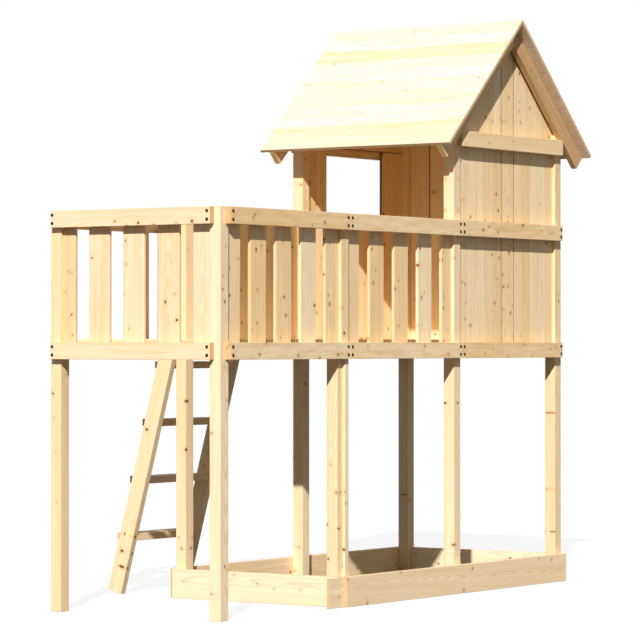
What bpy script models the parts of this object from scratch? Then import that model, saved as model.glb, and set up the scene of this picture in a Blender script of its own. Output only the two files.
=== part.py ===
"""Stilt playhouse: a raised timber platform with a railing, an open-fronted
gable house over its last bay, a leaning ladder and a sandbox below.

Metres, +Z up. The origin is the middle of the first near post's foot. +X runs
along the platform towards the house and +Y across it, away from the near side.
The near side is y = 0 and the far side is y = DEPTH, both on the posts' centres.
"""

import math

import bmesh
import bpy
from mathutils import Euler, Matrix, Vector

# Clearances
SEAT = 0.0003              # kept between two faces that touch
BATTEN_PLAY = 0.002        # batten ends stop this far from what is beside them
FLOOR_PLAY = 0.003         # round the floor, so that wet boards can swell
WALL_JOINT = 0.006         # open joint between two wall boards
BOND = 0.001               # how deep a batten or a bolt head is let into its board

# Timber sections
POST_W = 0.070
RAIL_T = 0.037
RAIL_H = 0.090
BOARD_T = 0.018
BOARD_W = 0.140
BATTEN_T = 0.018
BATTEN_H = 0.060
TONGUE_T = 0.006
TONGUE_D = 0.006           # a tongue's depth into each of its two boards
TONGUE_INSET = 0.004       # tongues stop this far inside the boards' ends
ARRIS = 0.0018             # eased edge of the planed timber

# Plan, between post centres
BAY_1 = 1.105
BAY_2 = 1.145
BAY_3 = 1.140
DEPTH = 1.060
RAIL_CORNER_SETBACK = 0.005   # rail end inside the corner post's centre
END_RAIL_REACH = 0.008        # end rail past the far corner post's centre

# Heights of the platform
LOWER_RAIL_Z = 1.350
TOP_RAIL_Z = 2.053
INFILL_INSET = 0.010       # board ends stop this far inside the rails' edges
BEARER_H = 0.086
FLOOR_T = 0.018

# Railing boards
GAP_LEFT_END = 0.0915
GAP_BAY_1 = 0.090
GAP_BAY_2 = 0.106
SHIFT_LEFT_END = 0.017     # middle board of the row past the middle of its panel
SHIFT_BAY_1 = 0.0
SHIFT_BAY_2 = 0.0125
SLIDE_OPENING_W = 0.600
SLIDE_BOARD_GAP = 0.100
LADDER_BOARDS_OUT = 2      # boards left out of the row over the ladder

# House walls
WALL_WIDE_W = 0.477
WALL_NARROW_W = 0.132
WINDOW_LEFT_W = 0.231      # wall left of the window in the far wall
WINDOW_W = 0.597
GABLE_BASE_Z = 2.569
GABLE_BASE_H = 0.090
BACK_BOARD_COUNT = 7
BACK_BATTEN_RISE = 0.091   # from the gable base to the back wall's top batten

# Roof
RIDGE_RISE = 0.771         # from the gable base to the ridge
ROOF_PITCH = math.radians(43.4)
ROOF_RUN = 0.808           # level distance from the ridge to the eave's upper edge
ROOF_T = 0.019
ROOF_BOARD_W = 0.101
RAFTER_D = 0.090
GABLE_OVERHANG = 0.060     # roof boards past the rafters' outer faces

# Sandbox
SAND_H = 0.165
LATH_D = 0.072
STRIP_W = 0.037
STRIP_T = 0.015
STRIP_INSET = 0.011        # from the post's left face

# Ladder
LADDER_LEAN = math.radians(15.4)
LADDER_HEAD_Z = 1.430
STRINGER_W = 0.042
STRINGER_D = 0.097
LADDER_OFFSET = -0.017     # from the second post's centre to the left stringer
LADDER_CLEAR_W = 0.566     # between the stringers
LADDER_BITE = 0.020        # how deep the plumb cut goes into the stringers
TREAD_COUNT = 4
TREAD_RISE = 0.328
TREAD_T = 0.040
TREAD_D = 0.147

# Bolts
BOLT_HEAD_D = 0.018
BOLT_CROWN_D = 0.010       # the head's flat crown
BOLT_HEAD_H = 0.005
BOLT_END = 0.020           # from the rail's end
END_RAIL_BOLT_END = 0.012  # the same at the far end of an end rail
BOLT_SPREAD = 0.022        # above and below the rail's middle
BOLT_SIDES = 8

CUT_MARGIN = 0.300         # how far cutters reach past what they cut

# Places that follow from the sizes above
POST_X = (0.0, BAY_1, BAY_1 + BAY_2, BAY_1 + BAY_2 + BAY_3)
LENGTH = POST_X[-1]
HALF_POST = POST_W / 2
RIDGE_X = (POST_X[2] + POST_X[3]) / 2
RIDGE_Z = GABLE_BASE_Z + RIDGE_RISE
SLOPE_L = ROOF_RUN / math.cos(ROOF_PITCH)
RAILING_TOP_Z = TOP_RAIL_Z + RAIL_H
INFILL_Z = (LOWER_RAIL_Z + INFILL_INSET, RAILING_TOP_Z - INFILL_INSET)
GABLE_SPLIT_Z = GABLE_BASE_Z + GABLE_BASE_H / 2
BEARER_TOP_Z = LOWER_RAIL_Z + RAIL_H
LADDER_X = POST_X[1] + LADDER_OFFSET
STRINGER_X = (LADDER_X, LADDER_X + STRINGER_W + LADDER_CLEAR_W)

# Layers of a side, measured inwards from the posts' outer faces
RAIL_LAYER = (-SEAT - RAIL_T, -SEAT)
BATTEN_LAYER = (0.0, BATTEN_T + BOND)
INFILL_LAYER = (BATTEN_T, BATTEN_T + BOARD_T)

# Outward direction of each side, as a turn of the local Z axis
SIDE_TURN = {
    "near": Matrix.Rotation(math.radians(90), 4, "X"),
    "far": Matrix.Rotation(math.radians(-90), 4, "X"),
    "left": Matrix.Rotation(math.radians(-90), 4, "Y"),
    "right": Matrix.Rotation(math.radians(90), 4, "Y"),
}

# Finishes: linear colour, roughness, metallic
FINISHES = {
    "post_pine": ((0.84, 0.64, 0.37), 0.62, 0.0),
    "rail_pine": ((0.86, 0.67, 0.41), 0.60, 0.0),
    "board_pine": ((0.80, 0.59, 0.34), 0.64, 0.0),
    "hidden_pine": ((0.72, 0.52, 0.30), 0.70, 0.0),
    "roof_pine": ((0.90, 0.78, 0.52), 0.60, 0.0),
    "sandbox_pine": ((0.80, 0.62, 0.36), 0.66, 0.0),
    "ladder_pine": ((0.82, 0.62, 0.35), 0.62, 0.0),
    "black_bolt": ((0.015, 0.014, 0.013), 0.45, 0.7),
}


def make_collection(name):
    collection = bpy.data.collections.new(name)
    bpy.context.scene.collection.children.link(collection)
    return collection


def make_materials():
    """One Principled material for each finish."""
    materials = {}
    for name, (colour, roughness, metallic) in FINISHES.items():
        material = bpy.data.materials.new(name)
        material.use_nodes = True
        shader = material.node_tree.nodes["Principled BSDF"]
        shader.inputs["Base Color"].default_value = (*colour, 1.0)
        shader.inputs["Roughness"].default_value = roughness
        shader.inputs["Metallic"].default_value = metallic
        material.diffuse_color = (*colour, 1.0)
        materials[name] = material
    return materials


def box_mesh(name, boxes, origin):
    """A mesh of separate boxes; each box is its x, y and z spans."""
    bm = bmesh.new()
    for spans in boxes:
        centre = Vector([(low + high) / 2 for low, high in spans])
        size = [high - low for low, high in spans]
        place = Matrix.Translation(centre - origin) @ Matrix.Diagonal((*size, 1.0))
        bmesh.ops.create_cube(bm, size=1.0, matrix=place)
    mesh = bpy.data.meshes.new(name)
    bm.to_mesh(mesh)
    bm.free()
    return mesh


def middle_of(boxes):
    """Centre of the space that a list of boxes fills."""
    lows = [min(spans[axis][0] for spans in boxes) for axis in range(3)]
    highs = [max(spans[axis][1] for spans in boxes) for axis in range(3)]
    return Vector([(low + high) / 2 for low, high in zip(lows, highs)])


def boxes_object(name, boxes, frame):
    """An object of boxes in the frame's axes or, without a frame, in the world's.

    A frame is a location and a rotation.
    """
    origin = Vector() if frame else middle_of(boxes)
    obj = bpy.data.objects.new(name, box_mesh(name, boxes, origin))
    obj.location, obj.rotation_euler = frame or (origin, Euler())
    return obj


def combine(obj, operation, others):
    """Cuts the object by the others, or joins it with them."""
    for other in others:
        step = obj.modifiers.new(other.name, "BOOLEAN")
        step.operation = operation
        step.material_mode = "TRANSFER"
        step.object = other


class Yard:
    """Holds the collections and the materials, and makes the pieces."""

    def __init__(self):
        self.parts = make_collection("stilt_playhouse")
        self.tools = make_collection("cutters_and_joiners")
        self.materials = make_materials()

    def timber(self, name, boxes, finish, cutters=(), joined=(), frame=None):
        """A piece cut by the cutters, its edges eased, then joined with what it carries."""
        obj = boxes_object(name, boxes, frame)
        obj.data.materials.append(self.materials[finish])
        self.parts.objects.link(obj)
        combine(obj, "DIFFERENCE", cutters)
        ease = obj.modifiers.new("arris", "BEVEL")
        ease.width = ARRIS
        ease.segments = 1
        ease.limit_method = "ANGLE"
        combine(obj, "UNION", joined)
        return obj

    def keep_tool(self, obj, finish="hidden_pine"):
        """Hides an object that other pieces are cut by or joined with."""
        obj.data.materials.append(self.materials[finish])
        obj.hide_render = True
        obj.display_type = "WIRE"
        self.tools.objects.link(obj)
        return obj

    def tool(self, name, boxes, cutters=(), frame=None):
        """A hidden set of boxes, cut by the cutters."""
        obj = self.keep_tool(boxes_object(name, boxes, frame))
        combine(obj, "DIFFERENCE", cutters)
        return obj


def side_span(side, layer):
    """World span of a layer of the near, far, left or right side."""
    low, high = layer
    if side in ("near", "left"):
        return (-HALF_POST + low, -HALF_POST + high)
    face = (DEPTH if side == "far" else LENGTH) + HALF_POST
    return (face - high, face - low)


def side_box(side, layer, along, z):
    """Box of a layer; along is its span in X on the long sides, in Y on the ends."""
    across = side_span(side, layer)
    if side in ("near", "far"):
        return (along, across, z)
    return (across, along, z)


def bay_clear(bay):
    """X span between the faces of the two posts of a bay, bays counted from 0."""
    return (POST_X[bay] + HALF_POST + SEAT, POST_X[bay + 1] - HALF_POST - SEAT)


def end_clear():
    """Y span between the faces of the two posts of an end."""
    return (HALF_POST + SEAT, DEPTH - HALF_POST - SEAT)


def slope_frame(hand):
    """Location and rotation of a roof slope's axes; hand is -1 left, +1 right.

    The local +X axis runs down the slope from the ridge, the local Z axis is
    square to the slope, and depths below the roof's top are negative Z.
    """
    turn = math.pi if hand < 0 else 0.0
    rotation = Matrix.Rotation(turn, 3, "Z") @ Matrix.Rotation(ROOF_PITCH, 3, "Y")
    return (Vector((RIDGE_X, 0.0, RIDGE_Z)), rotation.to_euler())


def slope_y(hand, span):
    """A world Y span in the slope's own axes; the left slope's are turned round."""
    if hand < 0:
        return (-span[1], -span[0])
    return span


def roof_cutters(yard, name, depth):
    """All that is higher than the given depth below the roof's top, as two boxes."""
    reach = ROOF_RUN + CUT_MARGIN
    wide = (-POST_W - RAIL_T - CUT_MARGIN, DEPTH + POST_W + RAIL_T + CUT_MARGIN)
    cutters = []
    for hand, side in ((-1, "left"), (1, "right")):
        box = ((-reach, SLOPE_L + reach), slope_y(hand, wide), (-depth, reach))
        cutters.append(yard.tool(f"{name}_{side}", [box], frame=slope_frame(hand)))
    return cutters


def make_posts(yard, under_roof):
    """Eight posts; the four of the house reach the roof and have sloped tops."""
    for row, y in (("near", 0.0), ("far", DEPTH)):
        for number, x in enumerate(POST_X, start=1):
            in_house = number > 2
            top = RIDGE_Z if in_house else RAILING_TOP_Z
            box = ((x - HALF_POST, x + HALF_POST), (y - HALF_POST, y + HALF_POST), (0.0, top))
            cutters = under_roof if in_house else ()
            yard.timber(f"post_{row}_{number}", [box], "post_pine", cutters)


def long_rail_span(bay):
    """X span of a long side's rail: from post centre to post centre."""
    start = RAIL_CORNER_SETBACK if bay == 0 else POST_X[bay] + SEAT / 2
    end = LENGTH - RAIL_CORNER_SETBACK if bay == 2 else POST_X[bay + 1] - SEAT / 2
    return (start, end)


def make_rails(yard):
    """Lower and top rails of all four sides, each with its bolt heads."""
    end_span = (RAIL_CORNER_SETBACK, DEPTH + END_RAIL_REACH)
    for level, z in (("lower", LOWER_RAIL_Z), ("top", TOP_RAIL_Z)):
        for side in ("near", "far"):
            for bay in range(3):
                make_rail(yard, f"rail_{level}_{side}_{bay + 1}", side, long_rail_span(bay), z)
        for side in ("left", "right"):
            make_rail(yard, f"rail_{level}_{side}", side, end_span, z)


def make_rail(yard, name, side, span, z):
    box = side_box(side, RAIL_LAYER, span, (z, z + RAIL_H))
    heads = bolt_heads(yard, name, side, span, z)
    yard.timber(name, [box], "rail_pine", joined=heads)


def bolt_heads(yard, rail, side, span, z):
    """Two heads near each end of a rail, one above the other, as one tool."""
    bm = bmesh.new()
    outer = side_span(side, (RAIL_LAYER[0], RAIL_LAYER[0]))[0]
    sunk = Matrix.Translation((0.0, 0.0, (BOLT_HEAD_H - BOND) / 2))
    far_end = END_RAIL_BOLT_END if side in ("left", "right") else BOLT_END
    for along in (span[0] + BOLT_END, span[1] - far_end):
        if side == "far" and z == LOWER_RAIL_Z and behind_stringer(along):
            continue
        for rise in (-BOLT_SPREAD, BOLT_SPREAD):
            height = z + RAIL_H / 2 + rise
            on_rail = (along, outer, height) if side in ("near", "far") else (outer, along, height)
            bmesh.ops.create_cone(
                bm, cap_ends=True, segments=BOLT_SIDES, radius1=BOLT_HEAD_D / 2,
                radius2=BOLT_CROWN_D / 2, depth=BOLT_HEAD_H + BOND,
                matrix=Matrix.Translation(on_rail) @ SIDE_TURN[side] @ sunk)
    mesh = bpy.data.meshes.new(f"bolts_{rail}")
    bm.to_mesh(mesh)
    bm.free()
    heads = bpy.data.objects.new(f"bolts_{rail}", mesh)
    return [yard.keep_tool(heads, "black_bolt")]


def behind_stringer(x):
    """Whether a bolt at this X would stand under a ladder stringer's head.

    Such bolts are countersunk, so that the stringer lies flat on the rail.
    """
    reach = BOLT_HEAD_D / 2
    return any(start - reach < x < start + STRINGER_W + reach for start in STRINGER_X)


def make_panel(yard, name, side, boards, battens, cutters=()):
    """Upright boards of a side, screwed to the level battens behind the rails.

    The boards and the battens are pairs of a span along the side and a z span.
    """
    batten_boxes = [side_box(side, BATTEN_LAYER, along, z) for along, z in battens]
    board_boxes = [side_box(side, INFILL_LAYER, along, z) for along, z in boards]
    joiner = yard.tool(f"battens_{name}", batten_boxes)
    yard.timber(name, board_boxes, "board_pine", cutters, [joiner])


def rail_battens(clear):
    """The two battens behind a lower and a top rail, between two posts."""
    along = (clear[0] + BATTEN_PLAY, clear[1] - BATTEN_PLAY)
    middles = (LOWER_RAIL_Z + RAIL_H / 2, TOP_RAIL_Z + RAIL_H / 2)
    return [(along, (middle - BATTEN_H / 2, middle + BATTEN_H / 2)) for middle in middles]


def filled_row(clear, gap, shift):
    """Spans of five railing boards: three full ones, two cut to fill up to the posts."""
    middle = (clear[0] + clear[1]) / 2 + shift
    pitch = BOARD_W + gap
    full = [(middle + step * pitch - BOARD_W / 2, middle + step * pitch + BOARD_W / 2)
            for step in (-1, 0, 1)]
    return [(clear[0], full[0][0] - gap), *full, (full[-1][1] + gap, clear[1])]


def slide_opening_boards(clear):
    """Boards after the slide opening in the first far bay, as many as fit up to the post."""
    first = clear[0] + SLIDE_OPENING_W
    pitch = BOARD_W + SLIDE_BOARD_GAP
    count = math.floor((clear[1] - first + SLIDE_BOARD_GAP) / pitch)
    return [(first + n * pitch, first + n * pitch + BOARD_W) for n in range(count)]


def make_railing(yard):
    """Railing panels of both platform bays and of the left end.

    The second far bay has the near bay's row without the boards over the ladder.
    """
    left_row = filled_row(end_clear(), GAP_LEFT_END, SHIFT_LEFT_END)
    row_1 = filled_row(bay_clear(0), GAP_BAY_1, SHIFT_BAY_1)
    row_2 = filled_row(bay_clear(1), GAP_BAY_2, SHIFT_BAY_2)
    panels = (
        ("railing_left", "left", end_clear(), left_row),
        ("railing_near_1", "near", bay_clear(0), row_1),
        ("railing_near_2", "near", bay_clear(1), row_2),
        ("railing_far_1", "far", bay_clear(0), slide_opening_boards(bay_clear(0))),
        ("railing_far_2", "far", bay_clear(1), row_2[LADDER_BOARDS_OUT:]),
    )
    for name, side, clear, spans in panels:
        boards = [(span, INFILL_Z) for span in spans]
        make_panel(yard, name, side, boards, rail_battens(clear))


def boarding(start, end, board_w, across, depth):
    """Boxes of tongued boards side by side along X, and of the tongues between them."""
    count = max(1, round((end - start) / board_w))
    pitch = (end - start) / count
    middle = sum(depth) / 2
    boards = [((start + n * pitch + SEAT / 2, start + (n + 1) * pitch - SEAT / 2), across, depth)
              for n in range(count)]
    inset = (across[0] + TONGUE_INSET, across[1] - TONGUE_INSET)
    tongues = [((start + n * pitch - TONGUE_D, start + n * pitch + TONGUE_D), inset,
                (middle - TONGUE_T / 2, middle + TONGUE_T / 2)) for n in range(1, count)]
    return boards, tongues


def make_floor(yard):
    """Two bearers on the posts' inner faces, and boarding notched round the posts."""
    inner = INFILL_LAYER[1] + FLOOR_PLAY
    x_span = (side_span("left", (inner, inner))[0], side_span("right", (inner, inner))[0])
    y_span = (side_span("near", (inner, inner))[0], side_span("far", (inner, inner))[0])
    bearer_z = (BEARER_TOP_Z - BEARER_H, BEARER_TOP_Z)
    clear = end_clear()
    bearers = {"near": (clear[0], clear[0] + RAIL_T), "far": (clear[1] - RAIL_T, clear[1])}
    for side, span in bearers.items():
        yard.timber(f"floor_bearer_{side}", [(x_span, span, bearer_z)], "hidden_pine")

    floor_z = (BEARER_TOP_Z + SEAT, BEARER_TOP_Z + SEAT + FLOOR_T)
    notch = HALF_POST + FLOOR_PLAY
    notches = [((x - notch, x + notch), (y - notch, y + notch),
                (floor_z[0] - CUT_MARGIN, floor_z[1] + CUT_MARGIN))
               for x in POST_X for y in (0.0, DEPTH)]
    round_posts = [yard.tool("cut_round_posts", notches)]
    edges = (x_span[0], POST_X[1], POST_X[2], x_span[1])
    for bay in range(3):
        boards, tongues = boarding(edges[bay], edges[bay + 1], BOARD_W, y_span, floor_z)
        joiner = yard.tool(f"tongues_floor_{bay + 1}", tongues, round_posts)
        yard.timber(f"floor_boards_{bay + 1}", boards, "hidden_pine", round_posts, [joiner])


def wall_layout():
    """X spans of the wide, narrow and wide boards of a house side."""
    start, end = bay_clear(2)
    first = (start, start + WALL_WIDE_W)
    second = (first[1] + WALL_JOINT, first[1] + WALL_JOINT + WALL_NARROW_W)
    return [first, second, (second[1] + WALL_JOINT, end)]


def make_walls(yard, under_roof):
    """Near, far and back walls of the house, and the boards of both gables."""
    clear = bay_clear(2)
    along = (clear[0] + BATTEN_PLAY, clear[1] - BATTEN_PLAY)
    wall_z = (INFILL_Z[0], GABLE_SPLIT_Z - WALL_JOINT / 2)
    head_z = (GABLE_BASE_Z + INFILL_INSET, GABLE_SPLIT_Z - BATTEN_PLAY)
    battens = rail_battens(clear) + [(along, head_z)]
    make_panel(yard, "wall_near", "near", [(span, wall_z) for span in wall_layout()], battens)

    half = WALL_JOINT / 2
    window = (clear[0] + WINDOW_LEFT_W, clear[0] + WINDOW_LEFT_W + WINDOW_W)
    boards = [
        ((clear[0], window[0] - half), wall_z),
        ((window[0] + half, window[1] - half), (INFILL_Z[0], RAILING_TOP_Z)),
        ((window[1] + half, clear[1]), wall_z),
    ]
    make_panel(yard, "wall_far", "far", boards, battens)

    foot_z = (GABLE_SPLIT_Z + BATTEN_PLAY, GABLE_BASE_Z + GABLE_BASE_H - INFILL_INSET)
    gable_z = (GABLE_SPLIT_Z + WALL_JOINT / 2, RIDGE_Z + CUT_MARGIN)
    for side in ("near", "far"):
        boards = [(span, gable_z) for span in wall_layout()]
        make_panel(yard, f"gable_boards_{side}", side, boards, [(along, foot_z)], under_roof)

    make_back_wall(yard, under_roof)


def make_back_wall(yard, under_roof):
    """Upright boards from the lower rail to the roof, between the last two posts."""
    clear = end_clear()
    along = (clear[0] + BATTEN_PLAY, clear[1] - BATTEN_PLAY)
    pitch = (clear[1] - clear[0] + WALL_JOINT) / BACK_BOARD_COUNT
    boards = [((clear[0] + n * pitch, clear[0] + (n + 1) * pitch - WALL_JOINT),
               (INFILL_Z[0], RIDGE_Z)) for n in range(BACK_BOARD_COUNT)]
    head_z = (GABLE_BASE_Z + BACK_BATTEN_RISE, GABLE_BASE_Z + BACK_BATTEN_RISE + BATTEN_H)
    battens = rail_battens(clear) + [(along, head_z)]
    make_panel(yard, "wall_back", "right", boards, battens, under_roof)


def make_gable_bases(yard, under_rafters):
    """Board across the foot of each gable, its corners cut along the rafters."""
    span = (POST_X[2], POST_X[3])
    for side in ("near", "far"):
        box = side_box(side, RAIL_LAYER, span, (GABLE_BASE_Z, GABLE_BASE_Z + GABLE_BASE_H))
        yard.timber(f"gable_base_{side}", [box], "rail_pine", under_rafters)


def make_roof(yard):
    """Four rafters and two slopes of tongued boards, mitred plumb at the ridge."""
    past = -RAIL_LAYER[0] + GABLE_OVERHANG
    overhang = (-HALF_POST - past, DEPTH + HALF_POST + past)
    across = (overhang[0] - CUT_MARGIN, overhang[1] + CUT_MARGIN)
    high = (RIDGE_Z - ROOF_RUN, RIDGE_Z + CUT_MARGIN)
    rafter_z = (-ROOF_T - SEAT - RAFTER_D, -ROOF_T - SEAT)
    for hand, side in ((-1, "left"), (1, "right")):
        frame = slope_frame(hand)
        other_side = sorted((RIDGE_X + hand * SEAT / 2, RIDGE_X - hand * (ROOF_RUN + CUT_MARGIN)))
        plumb = [yard.tool(f"cut_ridge_{side}", [(other_side, across, high)])]
        boards, tongues = boarding(
            0.0, SLOPE_L, ROOF_BOARD_W, slope_y(hand, overhang), (-ROOF_T, 0.0))
        joiner = yard.tool(f"tongues_roof_{side}", tongues, frame=frame)
        yard.timber(f"roof_boards_{side}", boards, "roof_pine", plumb, [joiner], frame)
        for gable in ("near", "far"):
            span = slope_y(hand, side_span(gable, RAIL_LAYER))
            box = ((0.0, SLOPE_L), span, rafter_z)
            yard.timber(f"rafter_{gable}_{side}", [box], "rail_pine", plumb, frame=frame)


def make_sandbox(yard):
    """Four boards on edge round the posts of the last two bays, and a corner board.

    The corner board is a short thin one that covers the left board's near end.
    """
    z = (0.0, SAND_H)
    left_face = POST_X[1] - HALF_POST
    long_span = (left_face, LENGTH + HALF_POST)
    cover_span = (left_face - SEAT - BOARD_W, left_face - SEAT)
    boards = {
        "sandbox_near": side_box("near", RAIL_LAYER, long_span, z),
        "sandbox_corner_board": side_box("near", (-SEAT - BOARD_T, -SEAT), cover_span, z),
        "sandbox_far": side_box("far", RAIL_LAYER, long_span, z),
        "sandbox_left": ((left_face - SEAT - RAIL_T, left_face - SEAT),
                         (-HALF_POST, DEPTH + HALF_POST), z),
        "sandbox_right": side_box("right", (0.0, RAIL_T), end_clear(), z),
    }
    for name, box in boards.items():
        yard.timber(name, [box], "sandbox_pine")


def make_post_cladding(yard):
    """Doubling lath and cover strip on the near post at the sandbox's corner."""
    left_face = POST_X[1] - HALF_POST
    z = (SAND_H + SEAT, LOWER_RAIL_Z - SEAT)
    lath = ((left_face - SEAT - RAIL_T, left_face - SEAT), (-HALF_POST, -HALF_POST + LATH_D), z)
    yard.timber("post_lath", [lath], "post_pine")
    start = left_face + STRIP_INSET
    strip = side_box("near", (-SEAT - STRIP_T, -SEAT), (start, start + STRIP_W), z)
    yard.timber("post_cover_strip", [strip], "post_pine")


def make_ladder(yard):
    """Two leaning stringers, cut plumb where they meet the far rail, and treads.

    A stringer's local Z axis runs up along it and its local Y axis across it.
    Its local origin is on the edge that it stands on.
    """
    rail_face = side_span("far", (RAIL_LAYER[0] - SEAT, RAIL_LAYER[0] - SEAT))[0]
    foot_y = rail_face - LADDER_BITE + LADDER_HEAD_Z * math.tan(LADDER_LEAN)
    length = LADDER_HEAD_Z / math.cos(LADDER_LEAN)
    head = ((STRINGER_X[0] - CUT_MARGIN, STRINGER_X[1] + STRINGER_W + CUT_MARGIN),
            (rail_face - CUT_MARGIN, rail_face),
            (LOWER_RAIL_Z - CUT_MARGIN, LADDER_HEAD_Z + CUT_MARGIN))
    plumb = [yard.tool("cut_at_far_rail", [head])]
    for side, x in zip(("left", "right"), STRINGER_X):
        frame = (Vector((x, foot_y, 0.0)), Euler((LADDER_LEAN, 0.0, 0.0)))
        box = ((0.0, STRINGER_W), (0.0, STRINGER_D), (0.0, length))
        yard.timber(f"ladder_stringer_{side}", [box], "ladder_pine", plumb, frame=frame)

    x_span = (STRINGER_X[0] + STRINGER_W + SEAT, STRINGER_X[1] - SEAT)
    for number in range(1, TREAD_COUNT + 1):
        z = number * TREAD_RISE
        near_edge = foot_y - z * math.tan(LADDER_LEAN)
        box = (x_span, (near_edge, near_edge + TREAD_D), (z - TREAD_T / 2, z + TREAD_T / 2))
        yard.timber(f"ladder_tread_{number}", [box], "ladder_pine")


def main():
    for obj in list(bpy.data.objects):
        bpy.data.objects.remove(obj, do_unlink=True)
    yard = Yard()
    under_roof = roof_cutters(yard, "cut_under_roof", ROOF_T + SEAT)
    under_rafters = roof_cutters(yard, "cut_under_rafters", ROOF_T + SEAT + RAFTER_D + SEAT)
    make_posts(yard, under_roof)
    make_rails(yard)
    make_railing(yard)
    make_floor(yard)
    make_walls(yard, under_roof)
    make_gable_bases(yard, under_rafters)
    make_roof(yard)
    make_sandbox(yard)
    make_post_cladding(yard)
    make_ladder(yard)


if __name__ == "__main__":
    main()
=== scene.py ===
"""Looks of the stilt playhouse: planed pine with its grain and knots, blackened
bolt heads, and a plain studio seen from the photograph's side.

Metres, +Z up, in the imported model's own frame. +X runs along the platform
towards the house and +Y across it, away from the near side.
"""

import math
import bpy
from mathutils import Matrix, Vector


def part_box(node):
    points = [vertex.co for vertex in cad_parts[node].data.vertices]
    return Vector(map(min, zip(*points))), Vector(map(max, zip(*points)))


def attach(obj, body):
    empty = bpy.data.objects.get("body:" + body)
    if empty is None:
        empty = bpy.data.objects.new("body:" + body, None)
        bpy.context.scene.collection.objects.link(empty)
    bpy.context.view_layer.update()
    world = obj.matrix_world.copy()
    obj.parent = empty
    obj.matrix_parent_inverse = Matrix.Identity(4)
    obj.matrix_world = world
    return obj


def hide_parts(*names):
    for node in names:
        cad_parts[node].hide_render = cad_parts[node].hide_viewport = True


bl_info = {
    "name": "Stilt Playhouse",
    "version": (1, 0, 0),
    "blender": (4, 5, 0),
    "location": "View3D > Sidebar > Playhouse",
    "description": "Boards, rails, bolts and finishes of a timber playhouse on stilts",
    "category": "Add Mesh",
}

import bpy
import numpy as np
from bpy.props import FloatProperty, FloatVectorProperty, IntProperty, PointerProperty
from bpy.types import Operator, Panel, PropertyGroup
from mathutils import Vector

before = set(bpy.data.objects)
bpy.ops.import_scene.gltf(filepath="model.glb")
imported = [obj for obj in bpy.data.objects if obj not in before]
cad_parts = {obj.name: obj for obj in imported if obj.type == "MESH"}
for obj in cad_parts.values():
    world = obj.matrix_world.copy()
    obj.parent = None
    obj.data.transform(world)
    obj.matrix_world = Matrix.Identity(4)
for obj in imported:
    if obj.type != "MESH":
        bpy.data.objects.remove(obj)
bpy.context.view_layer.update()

# Layers of a side, measured inwards from the posts' outer faces
SEAT = 0.0003
RAIL_LAYER = (-0.0373, -SEAT)
BATTEN_LAYER = (0.0, 0.018)
BOARD_LAYER = (0.018, 0.036)

# How far the backs of the bolt heads lie inside the rails, and the studio's floor under the feet
SUNK = 0.0005

# Staves of a wide board: the line of glue between two, and the radius of their edges
GLUE = 0.0001
STAVE_ARRIS = 0.0004

# Logs: the length that the boards' places are drawn from, how far the pith lies under a
# board's face and aside of its middle, the grain's greatest slope, and the rings' wander
LOG_LENGTH = 30.0
PITH_UNDER = (0.03, 0.08)
PITH_ASIDE = 0.07
GRAIN_SLOPE = 0.022
SWAY = 0.018
# Knots: how close they stand round the log, their stretch along it, their least and greatest
# radius, their soft edge past and inside that radius, and the reach of the stain round them
KNOTS_PER_RADIAN = 0.46
KNOT_STRETCH = 1.3
KNOT_RADII = (0.0023, 0.0078)
KNOT_EDGE = (0.0012, -0.0016)
HALO = 0.016
# How far the rings part round a knot, across the board and into it
SWELL = (0.0, 0.007, 0.004)
# How much of a board's colour is its own tone. The rest is its streaks.
TONE_SHARE = 0.55

# Roof, and its slopes, each with its side of the ridge
HANDS = ((-1, "left"), (1, "right"))
RIDGE = Vector(((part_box("post_near_3")[0].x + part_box("post_near_4")[1].x) / 2, 0.0, 3.340))
PITCH = math.radians(43.4)
SLOPE_LENGTH = 0.808 / math.cos(PITCH)
ROOF_THICKNESS = 0.019
RAFTER_DEPTH = 0.090
# The near and far walls' head batten above the gable base's foot, and the back wall's
HEAD_BATTEN_RISE = 0.010
BACK_BATTEN_RISE = 0.091

# Ladder: its lean, its stringers' section, and how deep the rail bites into them
LEAN = math.radians(15.4)
STRINGER = (0.097, 0.042)
HEAD_HEIGHT = 1.430
HEAD_BITE = 0.020

POST_FACE = {
    "near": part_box("post_near_1")[0].y,
    "far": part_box("post_far_1")[1].y,
    "left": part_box("post_near_1")[0].x,
    "right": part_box("post_near_4")[1].x,
}
OUTWARD = {"near": (0, -1, 0), "far": (0, 1, 0), "left": (-1, 0, 0), "right": (1, 0, 0)}

# Which way the sun's light goes: from the left behind the camera, and 34 degrees down
SUN_TRAVEL = Vector((1.84, 1.02, -1.42))


def linear(code):
    """The linear RGB of an sRGB hex code."""
    shares = np.array([int(code[n:n + 2], 16) for n in (1, 3, 5)]) / 255
    curve = np.where(shares <= 0.04045, shares / 12.92, ((shares + 0.055) / 1.055) ** 2.4)
    return tuple(float(share) for share in curve)


def amount(name, description, default, low, high, kind=FloatProperty, **traits):
    """A property of one number."""
    return kind(name=name, description=description, default=default, min=low, max=high,
                **traits)


def length(name, description, default, low=0.0, high=2.0):
    """A length property in metres."""
    return amount(name, description, default, low, high, unit="LENGTH", subtype="DISTANCE",
                  precision=4)


def colour(name, description, code):
    """A colour property from an sRGB hex code."""
    return FloatVectorProperty(name=name, description=description, size=3, subtype="COLOR",
                               min=0.0, max=1.0, default=linear(code))


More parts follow.
